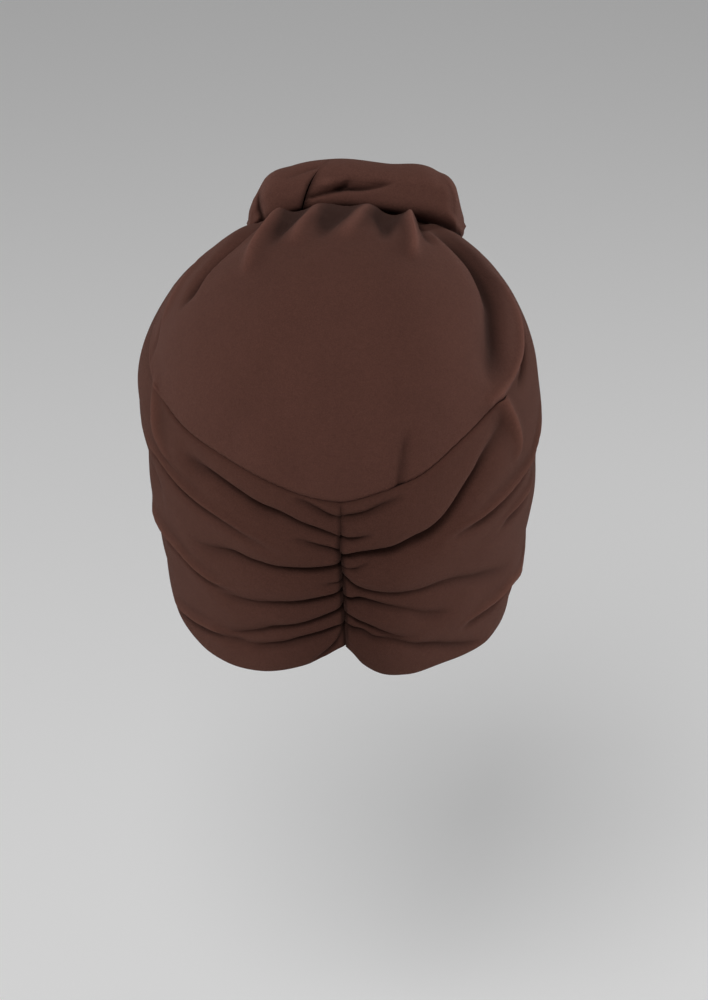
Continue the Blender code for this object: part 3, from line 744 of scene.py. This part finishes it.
def band_folds(folds, turn, around, share):
    """Rise that the band's folds give, by degrees round from the centre back and share of the width."""

    def on_cloth(at, down):
        top = edge_arc(turn * at, SEAM_STATIONS)
        width = (edge_arc(turn * at, HEM_STATIONS) - top) * WALL_STEP
        return at * np.radians(1.0) * BACK_REACH, down * width

    u, v = on_cloth(around, share)
    rise = np.zeros(u.shape)
    for name, fold in folds.items():
        places = np.array(fold.places, float)
        rise = rise + fold_rise(u, v, fold, np.stack(on_cloth(places[:, 0], places[:, 1]), -1))
        if name.startswith("lobe"):
            below = Fold(None, [-UNDERCUT * r for r in fold.rises], *UNDERCUT_PROFILE)
            under = np.stack(on_cloth(places[:, 0], places[:, 1] + UNDERCUT_SHIFT), -1)
            rise = rise + fold_rise(u, v, below, under)
    return rise


# Painted shade and highlight
def spread_out(values):
    """Values smoothed down their grid, and then across it."""
    for _ in ("down", "across"):
        for _ in range(SPREAD_TIMES):
            padded = np.pad(values, ((1, 1), (0, 0)), mode="edge")
            values = (padded[:-2] + padded[2:] + 2 * values) / 4
        values = values.T
    return values


def fold_shade_and_highlight(rise):
    """Depth of the cloth below its surroundings, up to 1, as painted shade, or height of a ridge above them,
    down to -1, as painted highlight.
    """
    ridge = np.maximum(rise, 0.0)
    painted_shade = np.clip((spread_out(rise) - rise) / PAINTED_SHADING_DEPTH, 0.0, 1.0)
    painted_highlight = np.clip((spread_out(ridge) - ridge) / PAINTED_SHADING_DEPTH, -1.0, 0.0)
    return painted_shade + painted_highlight


# Stitched seam
def stitched(azimuth):
    """How plainly the U-shaped seam shows: it fades at the sides under smooth cloth."""
    fade_start = np.where(azimuth > 0, SEAM_FADE_LEFT, SEAM_FADE_RIGHT)
    return 1.0 - smooth_step((np.abs(azimuth) - fade_start) / SEAM_FADE_REACH)


def seam_dip(azimuth, distance):
    return SEAM_DEPTH * stitched(azimuth) * bell(distance, SEAM_BREADTH, SEAM_POWER)


def seam_pucker(azimuth, distance):
    sway = SEAM_PUCKER.sway * np.sin(azimuth * SEAM_PUCKER.sway_rate)
    wave = np.sin(azimuth * SEAM_PUCKER.rate + sway)
    return SEAM_PUCKER.height * wave * bell(distance, SEAM_PUCKER.reach) * stitched(azimuth)


def carried_over(azimuth, distance):
    """Share of a fold that goes on past the seam."""
    return (1.0 - stitched(azimuth)) * bell(distance, CARRY_REACH)


# Meshes
def add_allowance(grids, inward, axis, at_end=False):
    """Grids of points, flat places and painted shade, with one edge of the cloth turned in as an allowance
    that is painted fully shaded.
    """
    points, place, painted_shade_and_highlight = (np.take(grid, [-1 if at_end else 0], axis) for grid in grids)
    # The turned-in strips are painted fully shaded
    strips = [[points - inward * depth, place, np.ones_like(painted_shade_and_highlight)] for depth in ALLOWANCE]
    rows = [grids] + strips if at_end else strips[::-1] + [grids]
    return [np.concatenate(parts, axis) for parts in zip(*rows)]


def layer_under(outer, thickness):
    """Inner side of cloth, straight under its outer grid."""
    along, across = np.gradient(outer, axis=(0, 1))
    return outer - unit(np.cross(across, along)) * thickness


def round_edge(outer, inner, extra, axis):
    """Add a rounded edge after the last row or column of both layers."""
    top, bottom = np.take(outer, [-1], axis), np.take(inner, [-1], axis)
    ahead = unit(top - np.take(outer, [-2], axis))
    half = np.linalg.norm(bottom - top, axis=-1, keepdims=True) / 2
    across = unit(bottom - top)
    tops, bottoms = [outer], [inner]
    for turn in EDGE_TURNS:
        sideways = half * (1 - math.cos(math.radians(turn)))
        forward = half * math.sin(math.radians(turn))
        tops.append(top + ahead * forward + across * sideways)
        bottoms.append(bottom + ahead * forward - across * sideways)
    extra = [np.concatenate([grid] + [np.take(grid, [-1], axis)] * len(EDGE_TURNS), axis) for grid in extra]
    return np.concatenate(tops, axis), np.concatenate(bottoms, axis), extra


def make_shell(name, outer, inner, place, painted_shade_and_highlight):
    """Closed cloth between an outer and an inner grid, with its flat map and its painted shade and highlight
    stored.
    """
    rows, columns = outer.shape[:2]
    count = rows * columns
    index = np.arange(count).reshape(rows, columns)
    quads = np.stack([index[:-1, :-1], index[:-1, 1:], index[1:, 1:], index[1:, :-1]], -1).reshape(-1, 4)
    back = quads[:, ::-1] + count
    edge = np.concatenate([index[0, :], index[1:, -1], index[-1, -2::-1], index[-2:0:-1, 0]])
    after = np.roll(edge, -1)
    rim = np.stack([after, edge, count + edge, count + after], -1)
    points = np.concatenate([outer.reshape(-1, 3), inner.reshape(-1, 3)])
    faces = np.concatenate([quads, back, rim]).tolist()
    flat = np.concatenate([place.reshape(-1, 2)] * 2)
    depth = np.concatenate([painted_shade_and_highlight.reshape(-1), np.zeros(count)])
    return make_mesh(name, points, faces, flat, depth)


def make_mesh(name, points, faces, flat, depth):
    """Object whose points keep their place on the flat cloth and their painted shade and highlight."""
    mesh = bpy.data.meshes.new(name)
    mesh.from_pydata((points * MM).tolist(), [], faces)
    mesh.shade_smooth()
    layer = mesh.uv_layers.new(name="cloth")
    corners = np.empty(len(mesh.loops), int)
    mesh.loops.foreach_get("vertex_index", corners)
    layer.data.foreach_set("uv", (flat * MM)[corners].reshape(-1))
    mesh.attributes.new("painted_shade_and_highlight", "FLOAT", "POINT").data.foreach_set("value", depth)
    return add_object(name, mesh)


# Crown
def crown_waves(left, back, to_seam):
    """Slow unevenness of the crown, calm along its seam."""
    u, v = left * WALL_STEP, back * WALL_STEP
    rise = 0.0
    for wave in CROWN_WAVES:
        noise = soft_noise(u / wave.length + WAVE_START, v / wave.length + WAVE_START, wave.seed)
        rise = rise + wave.height * smooth_step(to_seam / CROWN_CALM) * noise
    return rise


def folds_from_band(left, back, to_seam):
    """Rise that the band's folds give to the crown where they go on past the seam."""
    azimuth, arc = np.degrees(np.arctan2(left, back)), np.hypot(left, back)
    top = edge_arc(azimuth, SEAM_STATIONS)
    share = (arc - top) / (edge_arc(azimuth, HEM_STATIONS) - top)
    rise = np.zeros(left.shape)
    for turn, folds in ((1.0, LEFT_FOLDS), (-1.0, RIGHT_FOLDS)):
        carried = band_folds(folds, turn, turn * azimuth, share) * carried_over(azimuth, to_seam)
        rise = rise + np.where(turn * azimuth > 0, carried, 0.0)
    return rise


def shade_under_knot(left, back, folds_rise):
    """Deeper tone between the pleats, fading to the back and to the sides."""
    shade = smooth_step((KNOT_SHADE.back - back) / KNOT_SHADE.back_reach)
    shade = shade * smooth_step((KNOT_SHADE.side - np.abs(left)) / KNOT_SHADE.side_reach)
    shade = shade * np.clip(KNOT_SHADE.level - folds_rise / KNOT_SHADE.rise, 0.0, 1.0)
    return KNOT_SHADE.tone * shade


def make_crown():
    """Crown cloth: columns fan out from its gathered front edge to the U-shaped seam."""
    column = np.linspace(-1.0, 1.0, CROWN_COLUMNS + 1)
    row = np.insert(np.linspace(0.0, 1.0, CROWN_ROWS + 1), CROWN_ROWS, 1.0 - CRISP_SHARE)[:, None]
    front_azimuth = 180.0 - column * CROWN_FRONT_SPREAD
    seam_azimuth = column * CROWN_SEAM_SPREAD
    front = on_map(front_azimuth, edge_arc(front_azimuth, SEAM_STATIONS))
    seam = on_map(seam_azimuth, edge_arc(seam_azimuth, SEAM_STATIONS))
    left = front[0] + (seam[0] - front[0]) * row
    back = front[1] + (seam[1] - front[1]) * row
    base = form_point(left, back)
    to_seam = np.linalg.norm(base - base[-1:], axis=-1)

    folds_rise = crown_folds(left, back)
    rise = crown_waves(left, back, to_seam) + folds_rise + folds_from_band(left, back, to_seam)
    shade = shade_under_knot(left, back, folds_rise)
    # Painted shade in the folds, between the pleats under the knot and over the broad right valley, and
    # painted highlight on the ridges
    painted_shade_and_highlight = np.minimum(fold_shade_and_highlight(rise) + shade + crown_fold(left, back, VALLEY_SHADE), 1.0)
    rise = rise + seam_pucker(seam_azimuth, to_seam) - seam_dip(seam_azimuth, to_seam)
    outer = base + form_normal(left, back) * rise[..., None]
    place = np.stack([left * WALL_STEP, back * WALL_STEP], -1)
    inward = form_normal(left[-1:], back[-1:])
    outer, place, painted_shade_and_highlight = add_allowance([outer, place, painted_shade_and_highlight], inward, 0, at_end=True)
    return make_shell("crown_cloth", outer, layer_under(outer, CLOTH), place, painted_shade_and_highlight)


# Band
def gather_rise(u, share, turn):
    """Puff, puckers and groove beside the ruched seam at the centre back."""
    middle = np.sin(np.pi * share) ** 0.5
    puff = GATHER_PUFF * bell(u, PUFF_REACH) * middle
    sway = GATHER_PUCKER.sway * np.sin(share * GATHER_PUCKER.sway_rate + turn)
    pucker = GATHER_PUCKER.height * np.sin(share * GATHER_PUCKER.waves * 2 * np.pi + sway)
    pucker = pucker * bell(u, GATHER_PUCKER.reach, GATHER_PUCKER.power) * middle
    groove = GATHER_GROOVE * look_up(share, GATHER_STATIONS, "depth") * bell(u, GATHER_REACH, GATHER_POWER)
    basin = GATHER_BASIN * middle * bell(u, BASIN_REACH)
    return puff + pucker - (groove + basin)


def gather_shade(u, share):
    """Painted shade over the gather, and in the crease where the two halves meet."""
    strength = GATHER_SHADE * (GATHER_SHADE_TOP + (1.0 - GATHER_SHADE_TOP) * share)
    crease = bell(u, CREASE_SHADE_REACH) * look_up(share, GATHER_STATIONS, "depth") / CREASE_SHADE_FULL_DEPTH
    return strength * bell(u, GATHER_SHADE_REACH) + crease


def band_waves(around, share, side):
    """Slow unevenness of the band, calm along its seam."""
    climbed = share + CLIMB * smooth_step((around - CLIMB_START) / CLIMB_REACH)
    rise = 0.0
    for wave in BAND_WAVES:
        u = around / wave.degrees + BAND_WAVE_START[0]
        v = climbed * wave.over_width + BAND_WAVE_START[1]
        rise = rise + wave.height * smooth_step(share / BAND_CALM) * soft_noise(u, v, getattr(wave, side))
    return rise


def side_folds(side, around, share):
    """Folds of one half. Under the front lap the right half has the folds of the left one over it."""
    if side == "left":
        return band_folds(LEFT_FOLDS, 1.0, around, share)
    own = band_folds(RIGHT_FOLDS, -1.0, around, share)
    over = band_folds(LEFT_FOLDS, 1.0, 360.0 - around, share)
    start, end = BAND_ENDS["left"]
    lap_edge = 360.0 - start + (start - end) * share
    under = smooth_step((around - lap_edge) / UNDER_LAP_REACH + UNDER_LAP_LEAD)
    return own * (1.0 - under) + (over - UNDER_LAP_PRESS) * under


def make_band(side):
    """Half of the band: columns go round from the centre back to the lap at the front."""
    turn = 1.0 if side == "left" else -1.0
    start, end = BAND_ENDS[side]
    share = np.insert(np.linspace(0.0, 1.0, BAND_ROWS + 1), 1, CRISP_SHARE)[:, None]
    column = np.linspace(0.0, 1.0, BAND_COLUMNS + 1) ** BAND_CROWDING
    around = (start + (end - start) * share) * column
    azimuth = turn * around
    top = edge_arc(azimuth, SEAM_STATIONS)
    reach = edge_arc(azimuth, HEM_STATIONS) - top
    width = reach * WALL_STEP
    u, v = around * np.radians(1.0) * BACK_REACH, share * width

    rise = band_waves(around, share, side) + side_folds(side, around, share)
    rise = rise + crown_folds(*on_map(azimuth, top + reach * share)) * carried_over(azimuth, v)
    # Painted shade in the folds and over the gather, and painted highlight on the ridges
    painted_shade_and_highlight = np.minimum(fold_shade_and_highlight(rise) + gather_shade(u, share), 1.0)
    slack = smooth_step(share / DROOP_FROM_SEAM) * smooth_step((1.0 - share) / DROOP_FROM_HEM)
    arc = top + reach * share + DROOP * (rise + DROOP_LEVEL) * slack / WALL_STEP
    rise = rise + gather_rise(u, share, turn) - seam_dip(azimuth, v)
    if side == "left":
        lap = smooth_step((around - LAP_START) / (LAP_FULL - LAP_START))
        rise = rise + (CAD_WALL + LAP_CLEARANCE) * lap

    left, back = on_map(azimuth, arc)
    outer = form_point(left, back) + form_normal(left, back) * rise[..., None]
    wander = look_up((arc - top) / reach, GATHER_STATIONS, "wander")
    outer[..., 0] += wander * bell(u, WANDER_REACH)
    outer[:, 0, 0] = wander[:, 0] - turn * HALF_OVERLAP
    outer, place, painted_shade_and_highlight = band_allowances([outer, np.stack([u * turn, v], -1), painted_shade_and_highlight], left, back, share)
    if side == "right":
        outer, place, painted_shade_and_highlight = outer[:, ::-1], place[:, ::-1], painted_shade_and_highlight[:, ::-1]

    to_hem = np.pad(1.0 - share, ((len(ALLOWANCE), 0), (0, 0)), mode="edge") * width.mean()
    thick = CLOTH + (HEM_CLOTH - CLOTH) * smooth_step((HEM_TURN + HEM_STEP - to_hem) / HEM_STEP)
    inner = layer_under(outer, thick[..., None])
    outer, inner, extra = round_edge(outer, inner, [place, painted_shade_and_highlight], 0)
    if side == "left":
        outer, inner, extra = round_edge(outer, inner, extra, 1)
    return make_shell("band_" + side + "_cloth", outer, inner, *extra)


def band_allowances(grids, left, back, share):
    """Turn the band in along the centre back, and then along the seam with the crown."""
    kept = ALLOWANCE_AT_HEM + (1.0 - ALLOWANCE_AT_HEM) * smooth_step((1.0 - share) / ALLOWANCE_HEM_REACH)
    grids = add_allowance(grids, form_normal(left[:, :1], back[:, :1]) * kept[..., None], 1)
    inward = form_normal(left[:1], back[:1])
    inward = np.concatenate([inward[:, :1]] * len(ALLOWANCE) + [inward], axis=1)
    return add_allowance(grids, inward, 0)


# Knot
def knot_surface(across, turn):
    """Smooth surface of the knot, by millimetres to the left and by the turn round it from its back."""
    sizes = {column: look_up(across, KNOT_SECTIONS, column) for column in KNOT_SECTIONS[0]._fields[1:]}
    power = np.where((np.cos(turn) > 0) & (np.sin(turn) < 0), KNOT_SQUARENESS, 2.0)
    fullness = (np.abs(np.cos(turn)) ** power + np.abs(np.sin(turn)) ** power) ** (-1 / power)
    depth = sizes["half_depth"] * np.cos(turn) * fullness
    height = sizes["half_height"] * np.sin(turn) * fullness
    tilt = np.radians(KNOT_TILT)
    back = sizes["back"] + depth * np.cos(tilt) - height * np.sin(tilt)
    level = sizes["level"] + depth * np.sin(tilt) + height * np.cos(tilt)
    return np.stack(np.broadcast_arrays(across, back, level), -1)


def lift_clear(points):
    """Move points that would sink into the hat out to the clearance over the smooth form."""
    x, y = points[..., 0], points[..., 1]
    along = np.where(y > 0, BACK_REACH, FRONT_REACH)
    base = np.array([0.0, 0.0, WIDEST_LEVEL])
    offset = points - base
    size = (
        np.abs(x / HALF_WIDTH) ** ROUNDNESS
        + np.abs(y / along) ** ROUNDNESS
        + np.abs(offset[..., 2] / DOME_RISE) ** ROUNDNESS
    ) ** (1 / ROUNDNESS)
    least = 1.0 + KNOT_CLEARANCE / DOME_RISE
    return base + offset * ((1.0 + (least / size) ** KNOT_SOFTNESS) ** (1 / KNOT_SOFTNESS))[..., None]


def knot_rise(side, across, turn, crossing):
    """Pinch at the front of the crossing, folds and slow unevenness."""
    degrees = np.degrees(turn)
    pinched = smooth_step(1.0 - np.abs(wrapped(degrees - KNOT_PINCH_TURN)) / KNOT_PINCH_SPREAD)
    rise = -KNOT_PINCH * bell(across - crossing, KNOT_PINCH_REACH) * pinched
    for fold in KNOT_FOLDS[side].values():
        places = np.array(fold.places) * (1.0, KNOT_ROUND)
        for lap in (-360.0, 0.0, 360.0):
            rise = rise + fold_rise(across, degrees * KNOT_ROUND, fold, places + (0.0, lap * KNOT_ROUND))
    v = np.cos(turn) * KNOT_WAVE_ROUND[0] + np.sin(turn) * KNOT_WAVE_ROUND[1] + WAVE_START
    for wave in KNOT_WAVES:
        rise = rise + wave.height * soft_noise(across / wave.length + WAVE_START, v, wave.seed)
    return rise


def loop_faces(rings, flipped):
    """Quads between the rings, and fans to the two poles, whose points follow those of the rings."""
    index = np.arange(rings * KNOT_SIDES).reshape(rings, KNOT_SIDES)
    after = np.roll(index, -1, axis=1)
    faces = np.stack([index[:-1], after[:-1], after[1:], index[1:]], -1).reshape(-1, 4).tolist()
    faces += [[index.size, int(b), int(a)] for a, b in zip(index[0], after[0])]
    faces += [[index.size + 1, int(a), int(b)] for a, b in zip(index[-1], after[-1])]
    return [face[::-1] for face in faces] if flipped else faces


def make_knot(side):
    """One padded loop of the knot: rings from the crossing out to its tip."""
    sign = 1.0 if side == "left" else -1.0
    turn = np.linspace(0.0, 2 * np.pi, KNOT_SIDES, endpoint=False)
    from_shut = np.abs(wrapped(np.degrees(turn) - KNOT_SHUT_TURN))
    shut = 1.0 - smooth_step((from_shut - KNOT_SHUT_SPREAD) / KNOT_SHUT_FADE)
    gape = 1.0 - (1.0 - KNOT_SHUT) * shut
    crossing = KNOT_CROSSING + KNOT_SLANT * np.cos(turn + np.radians(KNOT_SLANT_TURN))
    crossing = crossing + sign * (KNOT_GAP - KNOT_OVERLAP * shut)
    tip = KNOT_SECTIONS[-1].across if side == "left" else KNOT_SECTIONS[0].across
    t = np.linspace(0.0, 1.0, KNOT_RINGS + 1)[1:-1, None]
    across = crossing + (tip - crossing) * (0.5 - 0.5 * np.cos(np.pi * t))
    turn = np.broadcast_to(turn, across.shape)

    closing = 1.0 - gape * (1.0 - np.minimum(1.0, (t / KNOT_EDGE[side]) ** 0.5))
    closing = np.minimum(closing, np.minimum(1.0, ((1.0 - t) / KNOT_TIP) ** 0.5))
    rise = knot_rise(side, across, turn, crossing)
    surface = knot_surface(across, turn)
    middle = surface.mean(axis=1, keepdims=True)
    outward = surface - middle
    size = np.linalg.norm(outward, axis=-1, keepdims=True)
    shape = middle + outward * closing[..., None] * (1.0 + rise[..., None] / size)
    shape[..., 0] = across
    shape = lift_clear(shape)
    poles = np.array([shape[0].mean(axis=0), shape[-1].mean(axis=0)])
    poles[1, 0] = tip + sign * KNOT_TIP_BULGE

    points = np.concatenate([shape.reshape(-1, 3), poles])
    flat = np.stack([across, np.degrees(turn) * KNOT_ROUND], -1).reshape(-1, 2)
    flat = np.concatenate([flat, [[crossing.mean(), 0.0], [tip, 0.0]]])
    # Painted shade in the folds and in the crease at the crossing, painted highlight on the ridges; the pole
    # at the crossing is fully shaded
    painted_shade_and_highlight = fold_shade_and_highlight(rise) + gape * bell(across - crossing, CROSSING_SHADE_REACH)
    depth = np.concatenate([np.minimum(painted_shade_and_highlight, 1.0).reshape(-1), [1.0, 0.0]])
    return make_mesh("knot_" + side + "_cloth", points, loop_faces(len(shape), side == "right"), flat, depth)


# Materials
def make_material(name, settings):
    material = bpy.data.materials.new(name)
    material.use_nodes = True
    shader = material.node_tree.nodes["Principled BSDF"]
    for socket, value in settings.items():
        shader.inputs[socket].default_value = value
    return material


def jersey(name, colour):
    """Matte jersey: fine knit, soft pile, and painted shade in its folds with painted highlight on its
    ridges.
    """
    material = make_material(name, JERSEY)
    tree = material.node_tree

    def node(kind, inputs, **settings):
        """Node with each input set to a value or linked to another node's output."""
        made = tree.nodes.new(kind)
        for key, value in settings.items():
            setattr(made, key, value)
        for socket, value in inputs.items():
            if isinstance(value, bpy.types.NodeSocket):
                tree.links.new(value, made.inputs[socket])
            else:
                made.inputs[socket].default_value = value
        return made.outputs

    def calculate(kind, a, b=0.0):
        return node("ShaderNodeMath", {0: a, 1: b}, operation=kind)[0]

    def noise(scale, detail):
        return node("ShaderNodeTexNoise", {"Scale": scale, "Detail": detail, "Vector": place})["Fac"]

    place = node("ShaderNodeTexCoord", {})["Object"]
    flat = node("ShaderNodeSeparateXYZ", {0: node("ShaderNodeUVMap", {}, uv_map="cloth")["UV"]})
    painted_shade_and_highlight = node("ShaderNodeAttribute", {}, attribute_name="painted_shade_and_highlight")["Fac"]

    # Knit: wales across the cloth, with the stitches leaning to either side of each wale
    wale = calculate("MULTIPLY", flat["X"], 2 * math.pi / RIB)
    lean = calculate("MULTIPLY", calculate("ABSOLUTE", calculate("SINE", wale)), STITCH_LEAN)
    stitch = calculate("MULTIPLY", flat["Y"], 2 * math.pi / (RIB * STITCH_RATIO))
    knit = calculate("MULTIPLY", calculate("SINE", calculate("ADD", stitch, lean)), STITCH_SHARE)
    wales = calculate("MULTIPLY", calculate("ABSOLUTE", calculate("COSINE", wale)), WALE_SHARE)
    weave = calculate("ADD", knit, wales)

    # Tone: slow patches, fine mottling, and painted shade in the hollows with painted highlight on the
    # ridges
    tone = TONE_BASE
    for mottle in MOTTLES:
        patches = noise(mottle.scale, mottle.detail)
        tone = calculate("ADD", tone, calculate("MULTIPLY", patches, mottle.share))
    tone = calculate("ADD", tone, calculate("MULTIPLY", weave, KNIT_TONE))
    # Painted shade darkens the folds and painted highlight lightens the ridges, from the stored attribute
    painted_shading = calculate("SUBTRACT", 1.0, calculate("MULTIPLY", painted_shade_and_highlight, PAINTED_FOLD_SHADING))
    tone = calculate("MULTIPLY", tone, painted_shading)
    shown = node("ShaderNodeVectorMath", {0: colour, "Scale": tone}, operation="SCALE")[0]

    relief = node("ShaderNodeBump", {**KNIT_BUMP, "Height": weave})["Normal"]
    pile = node("ShaderNodeBump", {**PILE_BUMP, "Height": noise(*PILE), "Normal": relief})["Normal"]
    shader = tree.nodes["Principled BSDF"]
    tree.links.new(shown, shader.inputs["Base Color"])
    tree.links.new(pile, shader.inputs["Normal"])
    return material


# Stage
def make_floor():
    bpy.ops.mesh.primitive_circle_add(
        vertices=96, radius=FLOOR_RADIUS, fill_type="NGON", location=(0, 0, FLOOR_LEVEL)
    )
    floor = bpy.context.object
    floor.name = "floor"
    floor.data.materials.append(make_material("floor_paint", FLOOR_PAINT))


def make_light():
    scene = bpy.context.scene
    world = bpy.data.worlds.new("studio")
    scene.world = world
    world.use_nodes = True
    background = world.node_tree.nodes["Background"]
    background.inputs["Color"].default_value = (1.0, 1.0, 1.0, 1.0)
    background.inputs["Strength"].default_value = WORLD_LIGHT
    for lamp in LAMPS:
        data = bpy.data.lights.new("lamp", "AREA")
        data.energy = lamp.energy
        data.size = lamp.size
        made = add_object("lamp", data)
        made.location = lamp.place
        made.rotation_euler = (Vector(LAMP_AIM) - Vector(lamp.place)).to_track_quat("-Z", "Y").to_euler()
    scene.view_settings.view_transform = "Standard"


# Assembly
def main():
    make_camera()
    make_floor()
    make_light()
    crown = make_crown()
    crown.data.materials.append(jersey("crown_jersey_look", COLOURS["crown"]))
    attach(crown, "root")
    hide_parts("crown_panel")
    band_look = jersey("band_jersey_look", COLOURS["band"])
    knot_look = jersey("knot_jersey_look", COLOURS["knot"])
    for side in ("left", "right"):
        band = make_band(side)
        band.data.materials.append(band_look)
        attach(band, "root")
        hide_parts("band_" + side)
        knot = make_knot(side)
        knot.data.materials.append(knot_look)
        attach(knot, "root")
        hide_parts("knot_" + side)


main()
